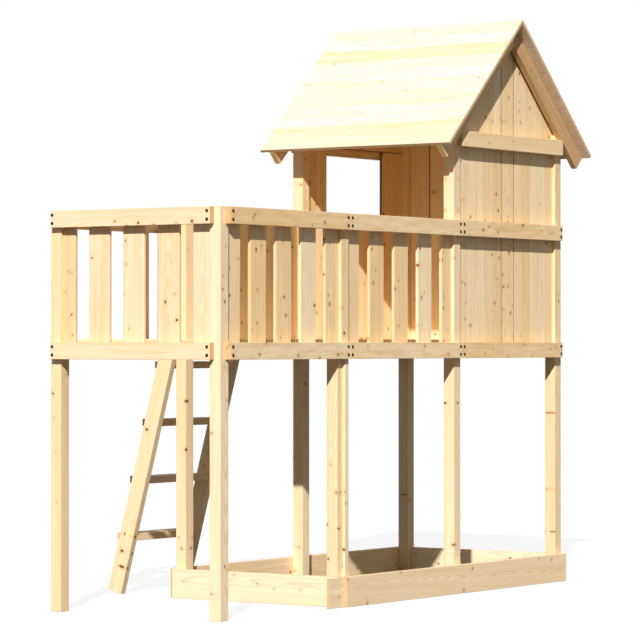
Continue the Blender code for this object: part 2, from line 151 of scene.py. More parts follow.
class PlayhouseBoards(PropertyGroup):
    """Sizes of the boards, battens and rails."""

    board_width: length("Board width", "Width of a full railing board", 0.140)
    gap_left: length("Gap, left end", "Gap between the boards of the left end", 0.0915)
    gap_1: length("Gap, bay 1", "Gap between the boards of the first bay", 0.090)
    gap_2: length("Gap, bay 2", "Gap between the boards of the second bay", 0.106)
    shift_left: length("Shift, left end", "Row of the left end past its middle", 0.017, -0.1)
    shift_2: length("Shift, bay 2", "Row of the second bay past its middle", 0.0125, -0.1)
    slide_opening: length("Slide opening", "Clear width for a slide", 0.600)
    slide_gap: length("Slide board gap", "Gap between the two boards beside the slide", 0.100)
    ladder_boards_out: amount("Boards out", "Boards left out at the ladder", 2, 0, 4, IntProperty)
    wall_wide: length("Wide wall board", "Width of the house side's first board", 0.477)
    wall_narrow: length("Narrow wall board", "Width of the house side's middle board", 0.132)
    window_left: length("Window inset", "Wall left of the window", 0.231)
    window_width: length("Window width", "Clear width of the window", 0.597)
    stave: length("Stave", "Usual width of the staves that a wide board is glued from", 0.094)
    wall_joint: length("Wall joint", "Open joint between two wall boards", 0.006)
    batten_height: length("Batten height", "Height of the level battens", 0.060)
    batten_play: length("Batten play", "Free length at each end of a batten", 0.002)
    arris: length("Arris", "Radius of the eased edges", 0.0020, 0.0003, 0.008)
    roof_arris: length("Roof arris", "Radius of the roof boards' eased edges", 0.0012, 0.0003, 0.008)
    back_boards: amount("Back boards", "Boards in the back wall", 7, 1, 20, IntProperty)
    roof_boards: amount("Roof boards", "Boards in one roof slope", 11, 1, 40, IntProperty)


class PlayhouseBolts(PropertyGroup):
    """Sizes of the bolt heads."""

    head: length("Head", "Diameter of a domed bolt head", 0.018, 0.004, 0.05)
    crown: length("Crown", "How far a head stands out of the rail", 0.0050, 0.001, 0.02)
    rim: length("Rim", "Height of the head's upright rim", 0.0010, 0.0, 0.01)
    from_end: length("From the end", "From a rail's end to its bolts", 0.020)
    from_far_end: length("From the far end", "The same at the far end of an end rail", 0.012)
    spread: length("Spread", "Bolts above and below the rail's middle", 0.022)


class PlayhouseFinish(PropertyGroup):
    """Colours and scales of the wood and the bolts."""

    pale: colour("Pine, pale", "Palest tone of the planed pine", "#FFEBC5")
    warm: colour("Pine, warm", "Warmest tone of the planed pine", "#EEC587")
    # Painted shade: the left end's boards and rails take a darker copy of the pine, to offset the
    # strong sun on their faces.
    end_pale: colour("Left end, pale", "Palest tone at the left end", "#F8DFBB")
    end_warm: colour("Left end, warm", "Warmest tone at the left end", "#E4BC86")
    post_pale: colour("Posts, pale", "Palest tone of the posts and the sandbox", "#FEE8C5")
    post_warm: colour("Posts, warm", "Warmest tone of the posts and the sandbox", "#EDCB96")
    roof_pale: colour("Roof, pale", "Palest tone of the roof boards", "#F1E5D6")
    roof_warm: colour("Roof, warm", "Warmest tone of the roof boards", "#E5C994")
    # Painted shade: the right rafters take a darker copy of the pine than the left rafters.
    rafter_pale: colour("Right rafters, pale", "Palest tone of the right rafters", "#D6B285")
    rafter_warm: colour("Right rafters, warm", "Warmest tone of the right rafters", "#AC8250")
    latewood: colour("Latewood", "Dark part of each annual ring", "#C48E4E")
    knot: colour("Knot", "Heart of a knot", "#56361D")
    halo: colour("Knot halo", "Resin-stained wood round a knot", "#C98F4C")
    patch: colour("Patch", "Darker patches of the rails", "#C69C68")
    end_wood: colour("End grain", "Sawn end of a board", "#C3935A")
    # Partly end grain, partly painted shade: the platform boards' ends are much darker than end
    # grain alone, for shade on the deck's edges.
    sawn: colour("Sawn ends", "Ends of the platform's boards", "#94622F")
    # Painted shade, not dust: the narrow sides of the wall and roof boards take this dark colour for
    # the shade in the open joints between them.
    joint_shade: colour("Groove", "Unlit, dusty joint between two wall boards", "#6E4A28")
    blacking: colour("Blacking", "Blackened steel of the bolts", "#141415")
    worn: colour("Worn steel", "Rubbed crown of a bolt head", "#3A3836")
    ring: length("Annual ring", "Width of an annual ring", 0.0034, 0.0005, 0.02)
    whorl: length("Knot spacing", "Usual distance between knots along a log", 0.090, 0.01, 1.0)


class PlayhouseStudio(PropertyGroup):
    """Light, floor and camera."""

    sun: amount("Sun", "Light on a surface that faces the sun", 1.58, 0.0, 5.0)
    sun_angle: amount("Sun angle", "Apparent size of the sun", math.radians(1.0), 0.0, 1.0,
                      subtype="ANGLE")
    sky: amount("Sky", "Strength of the soft light from all round", 0.25, 0.0, 5.0)
    floor_shade: amount("Floor shade", "Share of light the floor returns", 0.10, 0.0, 1.0,
                        subtype="FACTOR")
    lens: amount("Lens", "Focal length on a 36 mm sensor", 178.05, 10.0, 500.0, unit="CAMERA")


def settings(name):
    """The scene's settings of one kind: boards, bolts, finish or studio."""
    return getattr(bpy.context.scene, "playhouse_" + name)


# Shapes


def timber(middle, along, through, sides, **traits):
    """A straight timber. Its sides are its length, width and thickness.

    The length runs along one unit vector and the thickness along another. Its traits:
    cuts are planes, each a point and a normal, beyond which nothing of it is left, and
    kinks are points where two cuts meet. tone is from 0, pale, to 1, warm. A crosswise
    timber has its grain in its width. arris is the radius of its edges, if not the usual.
    """
    return {"middle": np.array(middle, float), "along": np.array(along, float),
            "through": np.array(through, float), "sides": np.array(sides, float),
            "cuts": (), "kinks": (), "tone": None, "arris": None, "crosswise": False, **traits}


def board(spans, along, through, **traits):
    """A timber that fills its x, y and z spans, its length and thickness on named axes."""
    low, high = np.array(spans, float).T
    unit = np.eye(3)
    a, t = "xyz".index(along), "xyz".index(through)
    sides = (high - low)[[a, 3 - a - t, t]]
    return timber((low + high) / 2, unit[a], unit[t], sides, **traits)


def eased_section(half_width, half_depth, arris, inset, breaks):
    """Rounded rectangle, anticlockwise, drawn in all round by the inset.

    A corner point is the corner's centre plus (arris - inset) * (cos t, sin t). The two
    wide sides also have a point at each break.
    """
    turns = np.radians(np.linspace(0.0, 90.0, 3))
    parts = []
    for quarter, (right, up) in enumerate(((1, 1), (-1, 1), (-1, -1), (1, -1))):
        angle = turns + quarter * math.pi / 2
        parts.append(np.column_stack([
            right * (half_width - arris) + (arris - inset) * np.cos(angle),
            up * (half_depth - arris) + (arris - inset) * np.sin(angle)]))
        if quarter in (0, 2):
            order = np.sort(breaks)[::-1] if quarter == 0 else np.sort(breaks)
            parts.append(np.column_stack([order, np.full(len(order), up * (half_depth - inset))]))
    return np.vstack(parts)


def new_object(name, data):
    """An object in the scene."""
    item = bpy.data.objects.new(name, data)
    bpy.context.scene.collection.objects.link(item)
    return item


def mesh_object(name, points, faces, material):
    """An object in the scene, of one mesh and one material."""
    mesh = bpy.data.meshes.new(name)
    mesh.from_pydata(np.asarray(points).tolist(), [], faces)
    mesh.materials.append(material)
    return new_object(name, mesh)


def ring_walls(rings, around):
    """The faces between rings of points.

    Face n of a ring joins its points n and n + 1 to the same two of the next ring.
    """
    step = np.arange(around)
    after = (step + 1) % around
    start = (np.arange(rings - 1) * around)[:, None]
    return np.stack([start + step, start + after, start + around + after,
                     start + around + step], axis=-1).reshape(-1, 4)


def board_surface(item, arris, draw):
    """Points, faces and grain of one board, as arrays.

    place(s, t) = middle + along * reach(s, t) + across * width(s, t) + through * depth(s, t)

    width and depth go round the eased section at parameter t. At both ends the section is
    drawn in over a quarter circle: inset = arris * (1 - cos f), at arris * (1 - sin f) from
    the end. reach starts and ends on the board's own ends or, where they are nearer, on its
    cutting planes. The grain is the place in the log that the board was sawn from.
    """
    along, through = item["along"], item["through"]
    across = np.cross(through, along)
    half_length, half_width, half_depth = item["sides"] / 2
    arris = min(arris, half_depth * 0.4)
    breaks = [float(across @ (np.array(kink) - item["middle"])) for kink in item["kinks"]]
    breaks = [place for place in breaks if abs(place) < half_width - 2 * arris]
    turn = np.radians([76.0, 40.0, 0.0])
    insets, setbacks = arris * (1 - np.cos(turn)), arris * (1 - np.sin(turn))
    setbacks = setbacks - setbacks[0]
    rows = []
    for inset, setback, far in [*zip(insets, setbacks, [False] * 3),
                                *zip(insets[::-1], setbacks[::-1], [True] * 3)]:
        section = eased_section(half_width, half_depth, arris, inset, breaks)
        base = item["middle"] + np.outer(section[:, 0], across) + np.outer(section[:, 1], through)
        low = np.full(len(section), -half_length)
        high = np.full(len(section), half_length)
        for point, normal in item["cuts"]:
            lean = float(along @ normal)
            reach = (np.array(point) - base) @ np.array(normal) / lean
            if lean > 0:
                high = np.minimum(high, reach)
            else:
                low = np.maximum(low, reach)
        reach = high - setback if far else low + setback
        rows.append(np.column_stack([reach, section, base + np.outer(reach, along)]))
    grid = np.array(rows)
    stations, around = grid.shape[:2]

    half = np.arange(around // 2 - 1)
    cap = np.stack([half, half + 1, around - 2 - half, around - 1 - half], axis=-1)
    faces = np.vstack([ring_walls(stations, around), cap[:, ::-1], cap + (stations - 1) * around])

    # The end grain is full on the sawn end and fades over its rounded edge.
    local = grid[:, :, :3].reshape(-1, 3)
    end = np.zeros((stations, around))
    end[[0, -1]] = 1.0
    end[[1, -2]] = 0.7
    end = end.reshape(-1)
    # The narrow sides, which carry the painted shade of the joints between boards.
    side = np.clip((np.abs(local[:, 1]) - half_width + arris) / arris, 0.0, 1.0)
    if item["crosswise"]:
        local = local[:, [1, 0, 2]]
        end, side = side, end
    pith = draw.uniform((0.0, -PITH_ASIDE, PITH_UNDER[0]),
                        (LOG_LENGTH, PITH_ASIDE, PITH_UNDER[1])) + (0.0, 0.0, half_depth)
    pith *= (1, 1, draw.choice((-1, 1)))
    tilt = draw.uniform(-GRAIN_SLOPE, GRAIN_SLOPE, 2)
    grain = local + pith
    grain[:, 1:] += np.outer(local[:, 0], tilt)
    return grid[:, :, 3:].reshape(-1, 3), faces, grain, end, side


def board_piece(node, boards, material, seed, arris=None):
    """One object of a timber or several boards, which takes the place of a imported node."""
    arris = arris or settings("boards").arris
    draw = np.random.default_rng(seed)
    points, faces, grains, count = [], [], [], 0
    shades = {"tone": [], "end_grain": [], "side": []}
    for item in boards:
        place, quads, grain, end, side = board_surface(item, item["arris"] or arris, draw)
        points.append(place)
        faces.append(quads + count)
        grains.append(grain)
        chance = draw.beta(1.6, 1.6)
        tone = chance if item["tone"] is None else item["tone"]
        for label, values in zip(shades, (np.full(len(place), tone), end, side)):
            shades[label].append(values)
        count += len(place)
    kind = "boards" if len(boards) > 1 else "timber"
    piece = mesh_object(f"{kind}_{node}", np.vstack(points), np.vstack(faces).tolist(), material)
    mesh = piece.data
    mesh.attributes.new("grain", "FLOAT_VECTOR", "POINT").data.foreach_set(
        "vector", np.vstack(grains).astype(np.float32).ravel())
    for label, values in shades.items():
        mesh.attributes.new(label, "FLOAT", "POINT").data.foreach_set(
            "value", np.concatenate(values).astype(np.float32))
    mesh.shade_smooth()
    normals = piece.modifiers.new("flat_faces", "WEIGHTED_NORMAL")
    normals.mode = "FACE_AREA"
    normals.weight = 100
    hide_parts(node)
    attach(piece, "root")


def bolt_domes(name, places, outward, material):
    """Domed bolt heads as one object.

    A head is a turned profile: an upright rim, then a dome whose radius is R * cos(f) and
    whose height is rim + (crown - rim) * sin(f), f from 0 to 90 degrees. Its back is flat
    and lies just inside the rail.
    """
    sizes = settings("bolts")
    outward = np.array(outward, float)
    side = np.cross(outward, (0.0, 0.0, 1.0))
    rise = np.cross(side, outward)
    lift = np.radians(np.linspace(0.0, 90.0, 7))[:-1]
    radii = np.append(1.0, np.cos(lift)) * sizes.head / 2
    heights = np.append(-SUNK, sizes.rim + (sizes.crown - sizes.rim) * np.sin(lift))
    turn = np.radians(np.arange(0, 360, 15))
    flat = np.outer(np.cos(turn), side) + np.outer(np.sin(turn), rise)
    head = (radii[:, None, None] * flat + heights[:, None, None] * outward).reshape(-1, 3)
    head = np.vstack([head, sizes.crown * outward])
    rings, around = len(radii), len(turn)
    # The section turns from side to rise, which is clockwise seen from outside.
    walls = ring_walls(rings, around)[:, ::-1]
    step = np.arange(around)
    top = (rings - 1) * around
    caps = [[top + (n + 1) % around, top + n, rings * around] for n in step]
    faces = walls.tolist() + caps + [step.tolist()]
    points = (np.array(places)[:, None] + head).reshape(-1, 3)
    polygons = [[corner + start for corner in face]
                for start in range(0, len(points), len(head)) for face in faces]
    piece = mesh_object(name, points, polygons, material)
    piece.data.shade_smooth()
    piece.data.set_sharp_from_angle(angle=math.radians(50))
    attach(piece, "root")


# Finishes


def fill(node, sockets):
    """Fills or links a node's sockets, in their order, or by name or number in a dictionary.

    A MapRange's are its value, the two ends of the range it comes from, and those of the
    range it goes to. A node stands for the first of its outputs that is in use.
    """
    for key, value in sockets.items() if isinstance(sockets, dict) else enumerate(sockets):
        if isinstance(value, bpy.types.Node):
            value = next(output for output in value.outputs if output.enabled)
        if isinstance(value, bpy.types.NodeSocket):
            node.id_data.links.new(value, node.inputs[key])
        else:
            node.inputs[key].default_value = value
    return node


def put(tree, kind, sockets=(), operation=None, **options):
    """Adds a node, sets its operation and other options, and fills its sockets."""
    node = tree.nodes.new("ShaderNode" + kind)
    if operation:
        node.operation = operation
    for name, value in options.items():
        setattr(node, name, value)
    return fill(node, sockets)


def new_material(name):
    """A material of one Principled shader, with its tree and that shader."""
    material = bpy.data.materials.new(name)
    material.use_nodes = True
    return material, material.node_tree, material.node_tree.nodes["Principled BSDF"]


def board_grain(tree):
    """Grain, tone, sawn ends and narrow sides from the attributes of a piece."""
    grain = put(tree, "Attribute", attribute_name="grain").outputs["Vector"]
    shades = [put(tree, "Attribute", attribute_name=label).outputs["Fac"]
              for label in ("tone", "end_grain", "side")]
    return (grain, *shades)


def plank_grain(turn, start, pitch):
    """Grain of boards side by side in one node: each gets its own tone and its own log."""
    def grain_of(tree):
        place = put(tree, "TexCoord").outputs["Object"]
        turned = put(tree, "Mapping", {"Vector": place, "Rotation": turn})
        split = put(tree, "SeparateXYZ", [turned])
        counted = put(tree, "Math", (split.outputs[1], start), "SUBTRACT")
        counted = put(tree, "Math", (counted, pitch), "DIVIDE")
        number = put(tree, "Math", [counted], "FLOOR")
        chance = put(tree, "TexWhiteNoise", {"W": number}, noise_dimensions="1D")
        # The pith of a board's log lies 20 to 80 mm under the board's middle.
        middle = put(tree, "Math", (number, 0.5), "ADD")
        middle = put(tree, "Math", (middle, pitch, start), "MULTIPLY_ADD")
        inside = put(tree, "Math", (split.outputs[1], middle), "SUBTRACT")
        place = put(tree, "CombineXYZ", (split, inside, 0.02))
        shift = put(tree, "VectorMath", (chance.outputs["Color"], (LOG_LENGTH, 0.08, 0.06)),
                    "MULTIPLY")
        grain = put(tree, "VectorMath", (place, shift), "ADD")
        # The faces across Y are the boards' sawn ends, darkened as end grain and as painted shade.
        facing = put(tree, "SeparateXYZ", [put(tree, "NewGeometry").outputs["True Normal"]])
        end = put(tree, "Math", [facing.outputs[1]], "ABSOLUTE")
        return grain, chance.outputs["Value"], end, None
    return grain_of


def knots(tree, log, crowding):
    """Masks of the knots and of the stained wood round them.

    Knots are branches: they run outwards from the pith, so their places are set by the
    length along the log and the angle round it. They are 5 to 16 mm across, and crowding
    is the share of places that have one.
    """
    whorl = settings("finish").whorl
    split = put(tree, "SeparateXYZ", [log])
    flat = put(tree, "VectorMath", (log, (0.0, 1.0, 1.0)), "MULTIPLY")
    radius = put(tree, "VectorMath", [flat], "LENGTH")
    angle = put(tree, "Math", (split.outputs[2], split.outputs[1]), "ARCTAN2")
    place = put(tree, "CombineXYZ", (split, angle, 0.0))
    place = put(tree, "VectorMath", (place, (1 / whorl, KNOTS_PER_RADIAN, 0.0)), "MULTIPLY")
    cells = put(tree, "TexVoronoi", {"Vector": place, "Scale": 1.0}, voronoi_dimensions="2D")
    off = put(tree, "VectorMath", (place, cells.outputs["Position"]), "SUBTRACT")
    scale = put(tree, "CombineXYZ", (1.0, radius, 0.0))
    scale = put(tree, "VectorMath", (scale, (whorl / KNOT_STRETCH, 1 / KNOTS_PER_RADIAN, 0.0)),
                "MULTIPLY")
    off = put(tree, "VectorMath", (off, scale), "MULTIPLY")
    distance = put(tree, "VectorMath", [off], "LENGTH")
    chance = put(tree, "SeparateColor", [cells.outputs["Color"]])
    there = put(tree, "Math", (chance.outputs[1], crowding), "LESS_THAN")
    # The power makes most of them small.
    size = put(tree, "Math", (chance, 2.2), "POWER")
    size = put(tree, "MapRange", (size, 0.0, 1.0, *KNOT_RADII))
    size = put(tree, "Math", (size, there), "MULTIPLY")
    rim = put(tree, "Math", (distance, size), "SUBTRACT")
    knot = put(tree, "MapRange", (rim, *KNOT_EDGE), interpolation_type="SMOOTHSTEP")
    around = put(tree, "MapRange", (rim, HALO, 0.0), interpolation_type="SMOOTHSTEP")
    return knot, put(tree, "Math", (around, there), "MULTIPLY")


def planed_pine(name, colours="", grain_of=board_grain, knotty=0.90, joint_shading=0.0, patchy=0.0):
    """Planed, unfinished pine: pale sapwood, darker latewood lines, small dark knots.

    colours is what the names of its palest and warmest tones start with. knotty is how
    crowded its knots are, joint_shading the painted shade on its narrow sides, patchy its patches.
    Everything is worked out in the log's own space, with X along the grain, so the rings
    show as lines and arches on the faces and as arcs on the sawn ends. Each noise has so
    many cells to a metre along the log and across it.
    """
    look = settings("finish")
    pale, warm = (getattr(look, colours + tone) for tone in ("pale", "warm"))
    material, tree, shader = new_material(name)
    grain, tone, end, side = grain_of(tree)

    # A log is never straight: its rings wander by some millimetres over a metre.
    place = put(tree, "VectorMath", (grain, (1.1, 8.0, 8.0)), "MULTIPLY")
    bend = put(tree, "TexNoise", {"Vector": place, "Scale": 1.0, "Detail": 2.0})
    sway = put(tree, "VectorMath", (bend.outputs[1], (0.5, 0.5, 0.5)), "SUBTRACT")
    sway = put(tree, "VectorMath", (sway, (0.0, SWAY, SWAY)), "MULTIPLY")
    log = put(tree, "VectorMath", (grain, sway), "ADD")

    # Knots come in clusters, where the tree had its whorls of branches.
    crowding = put(tree, "MapRange", (bend, 0.42, 0.60, 0.25 * knotty, 1.5 * knotty))
    knot, halo = knots(tree, log, crowding)

    # The rings part and close again round a knot.
    swell = put(tree, "CombineXYZ", (halo, halo, halo))
    swell = put(tree, "VectorMath", (swell, SWELL), "MULTIPLY")
    ringed = put(tree, "VectorMath", (log, swell), "ADD")
    # The texture's rings repeat every 2 pi / 20 units.
    rings = put(tree, "TexWave", {"Vector": ringed, "Distortion": 0.0,
                                  "Scale": math.pi / 10 / look.ring},
                wave_type="RINGS", rings_direction="X", wave_profile="SAW")
    late = put(tree, "MapRange", (rings.outputs[1], 0.45, 0.95), interpolation_type="SMOOTHSTEP")

    # Streaks 15 to 40 mm wide, and fibres drawn 1 mm wide so that they show at all.
    place = put(tree, "VectorMath", (log, (1.3, 34.0, 34.0)), "MULTIPLY")
    streak = put(tree, "TexNoise", {"Vector": place, "Scale": 1.0, "Detail": 3.0,
                                    "Roughness": 0.6})
    streak = put(tree, "MapRange", (streak, 0.34, 0.68))
    place = put(tree, "VectorMath", (log, (14.0, 900.0, 900.0)), "MULTIPLY")
    fibre = put(tree, "TexNoise", {"Vector": place, "Scale": 1.0, "Detail": 2.0})
    thread = put(tree, "MapRange", (fibre, 0.5, 0.8))
    own = put(tree, "Math", (tone, TONE_SHARE), "MULTIPLY")
    share = put(tree, "Math", (streak, 1 - TONE_SHARE, own), "MULTIPLY_ADD")
    wood = put(tree, "Mix", {0: share, 6: (*pale, 1.0), 7: (*warm, 1.0)}, data_type="RGBA")

    # What lies over that: where, how strongly and in which colour.
    # The platform's sawn ends take the dark sawn colour: partly end grain, partly painted shade.
    layers = [(late, 0.26, look.latewood), (thread, 0.25, look.latewood),
              (halo, 0.30, look.halo), (knot, 0.88, look.knot),
              (end, 0.65, look.end_wood) if grain_of is board_grain else (end, 0.9, look.sawn)]
    if patchy:
        # Handling and the planer leave darker patches, 60 to 200 mm long.
        place = put(tree, "VectorMath", (log, (7.0, 30.0, 30.0)), "MULTIPLY")
        patch = put(tree, "TexNoise", {"Vector": place, "Scale": 1.0, "Detail": 2.0})
        patch = put(tree, "MapRange", (patch, 0.45, 0.70))
        layers.insert(2, (patch, patchy, look.patch))
    # Painted shade: the narrow sides along the joints are darkened for the shade between the boards.
    if joint_shading:
        layers.append((side, joint_shading, look.joint_shade))
    for mask, strength, tint in layers:
        share = put(tree, "Math", (mask, strength), "MULTIPLY")
        wood = put(tree, "Mix", {0: share, 6: wood, 7: (*tint, 1.0)}, data_type="RGBA")

    # Planed softwood is matt, the knots are denser and a little smoother.
    rough = put(tree, "MapRange", (fibre, 0.0, 1.0, 0.56, 0.72))
    rough = put(tree, "Math", (knot, -0.14, rough), "MULTIPLY_ADD")
    relief = put(tree, "Math", (late, 0.5, fibre), "MULTIPLY_ADD")
    bump = put(tree, "Bump", {"Height": relief, "Strength": 0.25, "Distance": 0.0005})
    fill(shader, {"Base Color": wood, "Roughness": rough, "Normal": bump, "IOR": 1.5,
                  "Specular IOR Level": 0.35})
    return material


def blackened_steel(name):
    """Blackened steel: a near-black, satin skin, rubbed a little lighter in spots."""
    look = settings("finish")
    material, tree, shader = new_material(name)
    place = put(tree, "TexCoord").outputs["Object"]
    # Mottling of about 2 mm, as the blacking bath leaves it.
    spots = put(tree, "TexNoise", {"Vector": place, "Scale": 480.0, "Detail": 3.0})
    worn = put(tree, "MapRange", (spots, 0.55, 0.80))
    skin = put(tree, "Mix", {0: worn, 6: (*look.blacking, 1.0), 7: (*look.worn, 1.0)},
               data_type="RGBA")
    rough = put(tree, "MapRange", (spots, 0.0, 1.0, 0.34, 0.50))
    fill(shader, {"Base Color": skin, "Roughness": rough, "Metallic": 0.55})
    return material


def run_axis(side):
    """The axis that a side runs along: 0 for X, 1 for Y."""
    return 0 if side in ("near", "far") else 1


def face_depth(side, depth):
    """The place of a layer on the other axis, at a depth inwards from the posts' faces."""
    return POST_FACE[side] + (depth if side in ("near", "left") else -depth)


def side_spans(side, layer, along, up):
    """The x, y and z spans of a layer of a side; along is its span on the side's length."""
    across = sorted(face_depth(side, depth) for depth in layer)
    return (across, along, up) if run_axis(side) else (along, across, up)


def clear_between(first, second, axis):
    """The span between the facing sides of two posts."""
    return (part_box(first)[1][axis] + SEAT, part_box(second)[0][axis] - SEAT)


def panel(side, uprights, levels, tones=(), **traits):
    """Upright boards and level battens of a side, as pairs of a span and a height."""
    flat, through = ("y", "x") if run_axis(side) else ("x", "y")
    tones = dict(enumerate(tones))
    return ([board(side_spans(side, BOARD_LAYER, span, up), "z", through,
                   tone=tones.get(number), **traits)
             for number, (span, up) in enumerate(uprights)]
            + [board(side_spans(side, BATTEN_LAYER, span, up), flat, through)
               for span, up in levels])


def batten_span(clear):
    """A batten's length between two posts."""
    play = settings("boards").batten_play
    return clear[0] + play, clear[1] - play


def rail_battens(clear):
    """The battens behind a lower and a top rail."""
    half = settings("boards").batten_height / 2
    boxes = [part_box(f"rail_{level}_near_1") for level in ("lower", "top")]
    middles = [(low.z + high.z) / 2 for low, high in boxes]
    return [(batten_span(clear), (middle - half, middle + half)) for middle in middles]


def under_roof(depth=ROOF_THICKNESS):
    """The two planes a depth under the roof's top, as cuts and the kink between them."""
    drop = (depth + SEAT) / math.cos(PITCH)
    point = RIDGE - Vector((0.0, 0.0, drop))
    cuts = [(tuple(point), (hand * math.sin(PITCH), 0.0, math.cos(PITCH))) for hand in (-1, 1)]
    return {"cuts": cuts, "kinks": [tuple(point)]}


def slope(hand):
    """Unit vectors down and out of a roof slope; hand is -1 left, +1 right."""
    return (np.array([hand * math.cos(PITCH), 0.0, -math.sin(PITCH)]),
            np.array([hand * math.sin(PITCH), 0.0, math.cos(PITCH)]))


class PLAYHOUSE_OT_railings(Operator):
    """Railing panels of the left end and of both platform bays"""

    bl_idname = "playhouse.railings"
    bl_label = "Railings"

    # Each board's tone from 0, pale, to 1, warm, as in the photograph
    left_tones = (0.1, 0.4, 0.2, 0.35, 0.9)
    near_tones = (0.55, 0.85, 0.80, 0.0, 0.75)

    def execute(self, context):
        sizes = settings("boards")
        # The left end's darker copy of the pine is painted shade.
        woods = {"left": planed_pine("shaded_pine_end_boards", "end_"),
                 "near": planed_pine("planed_pine_boards")}
        left = clear_between("post_near_1", "post_far_1", 1)
        bay_1 = clear_between("post_near_1", "post_near_2", 0)
        bay_2 = clear_between("post_near_2", "post_near_3", 0)
        row_left = self.filled_row(left, sizes.gap_left, sizes.shift_left)
        row_1 = self.filled_row(bay_1, sizes.gap_1, 0.0)
        row_2 = self.filled_row(bay_2, sizes.gap_2, sizes.shift_2)
        panels = (
            ("railing_left", "left", left, row_left, self.left_tones),
            ("railing_near_1", "near", bay_1, row_1, self.near_tones),
            ("railing_near_2", "near", bay_2, row_2, self.near_tones),
            ("railing_far_1", "far", bay_1, self.beside_slide(bay_1), ()),
            ("railing_far_2", "far", bay_2, row_2[sizes.ladder_boards_out:], ()),
        )
        for seed, (node, side, clear, spans, tones) in enumerate(panels, start=11):
            low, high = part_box(node)
            boards = panel(side, [(span, (low.z, high.z)) for span in spans],
                           rail_battens(clear), tones)
            board_piece(node, boards, woods.get(side, woods["near"]), seed)
        return {"FINISHED"}

    def filled_row(self, clear, gap, shift):
        """Three full boards and two that fill up to the posts."""
        width = settings("boards").board_width
        middle = (clear[0] + clear[1]) / 2 + shift
        starts = middle + np.array([-1, 0, 1]) * (width + gap) - width / 2
        full = [(start, start + width) for start in starts]
        return [(clear[0], full[0][0] - gap), *full, (full[-1][1] + gap, clear[1])]

    def beside_slide(self, clear):
        """Two boards beside the slide opening."""
        sizes = settings("boards")
        first = clear[0] + sizes.slide_opening
        second = first + sizes.board_width + sizes.slide_gap
        return [(start, start + sizes.board_width) for start in (first, second)]


class PLAYHOUSE_OT_walls(Operator):
    """Near, far and back walls of the house, and the boards of both gables"""

    bl_idname = "playhouse.walls"
    bl_label = "Walls"

    def execute(self, context):
        sizes = settings("boards")
        wood = planed_pine("planed_pine_walls", joint_shading=0.9)
        clear = clear_between("post_near_3", "post_near_4", 0)
        along = batten_span(clear)
        joint = sizes.wall_joint
        first = (clear[0], clear[0] + sizes.wall_wide)
        second = (first[1] + joint, first[1] + joint + sizes.wall_narrow)
        layout = [first, second, (second[1] + joint, clear[1])]

        low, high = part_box("wall_near")
        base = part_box("gable_base_near")
        head = (along, (base[0].z + HEAD_BATTEN_RISE, high.z - sizes.batten_play + joint / 2))
        battens = [*rail_battens(clear), head]
        full = (low.z, high.z)
        near = self.glued("near", [(span, full) for span in layout], battens)

        window = (clear[0] + sizes.window_left, clear[0] + sizes.window_left + sizes.window_width)
        sill = (low.z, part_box("rail_top_far_3")[1].z)
        far = self.glued("far", [((clear[0], window[0] - joint / 2), full),
                                 ((window[0] + joint / 2, window[1] - joint / 2), sill),
                                 ((window[1] + joint / 2, clear[1]), full)], battens)

        gable = (high.z + joint, RIDGE.z)
        foot = (along, (high.z + joint / 2 + sizes.batten_play, base[1].z - HEAD_BATTEN_RISE))
        pieces = [("wall_near", near), ("wall_far", far), ("wall_back", self.back_wall())]
        for side in ("near", "far"):
            boards = self.glued(side, [(span, gable) for span in layout], [foot], **under_roof())
            pieces.append((f"gable_boards_{side}", boards))
        for seed, (node, boards) in enumerate(pieces, start=31):
            board_piece(node, boards, wood, seed)
        return {"FINISHED"}

    def glued(self, side, uprights, levels, **traits):
        """A panel whose wide boards are glued from staves, edge to edge."""
        usual = settings("boards").stave
        staves = []
        for (start, end), up in uprights:
            count = max(1, round((end - start) / usual))
            edges = np.linspace(start, end, count + 1)
            staves += [((a + GLUE / 2, b - GLUE / 2), up) for a, b in zip(edges[:-1], edges[1:])]
        return panel(side, staves, levels, arris=STAVE_ARRIS, **traits)

    def back_wall(self):
        """Upright boards between the last two posts, cut off under the roof."""
        sizes = settings("boards")
        clear = clear_between("post_near_4", "post_far_4", 1)
        pitch = (clear[1] - clear[0] + sizes.wall_joint) / sizes.back_boards
        starts = clear[0] + pitch * np.arange(sizes.back_boards)
        up = (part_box("wall_back")[0].z, RIDGE.z)
        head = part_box("gable_base_near")[0].z + BACK_BATTEN_RISE
        return panel("right", [((start, start + pitch - sizes.wall_joint), up)
                               for start in starts],
                     [*rail_battens(clear),
                      (batten_span(clear), (head, head + sizes.batten_height))],
                     **under_roof())


class PLAYHOUSE_OT_roof(Operator):
    """Boards of both roof slopes, laid level and mitred plumb at the ridge"""

    bl_idname = "playhouse.roof"
    bl_label = "Roof"

    def execute(self, context):
        sizes = settings("boards")
        wood = planed_pine("planed_pine_roof", "roof_", knotty=0.14, joint_shading=0.5)
        pitch = SLOPE_LENGTH / sizes.roof_boards
        for seed, (hand, side) in enumerate(HANDS, start=51):
            node = f"roof_boards_{side}"
            low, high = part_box(node)
            down, out = slope(hand)
            boards = []
            for number in range(sizes.roof_boards):
                middle = (np.array(RIDGE) + down * pitch * (number + 0.5)
                          - out * ROOF_THICKNESS / 2)
                middle[1] = (low.y + high.y) / 2
                boards.append(timber(middle, down, out,
                                     (pitch - SEAT, high.y - low.y, ROOF_THICKNESS),
                                     cuts=plumb_at_ridge(hand) if number == 0 else (),
                                     crosswise=True))
            board_piece(node, boards, wood, seed, sizes.roof_arris)
        return {"FINISHED"}


def plumb_at_ridge(hand):
    """The plumb cut at the ridge of a slope's boards and rafters."""
    return [((RIDGE.x + hand * SEAT / 2, 0.0, 0.0), (-hand, 0.0, 0.0))]


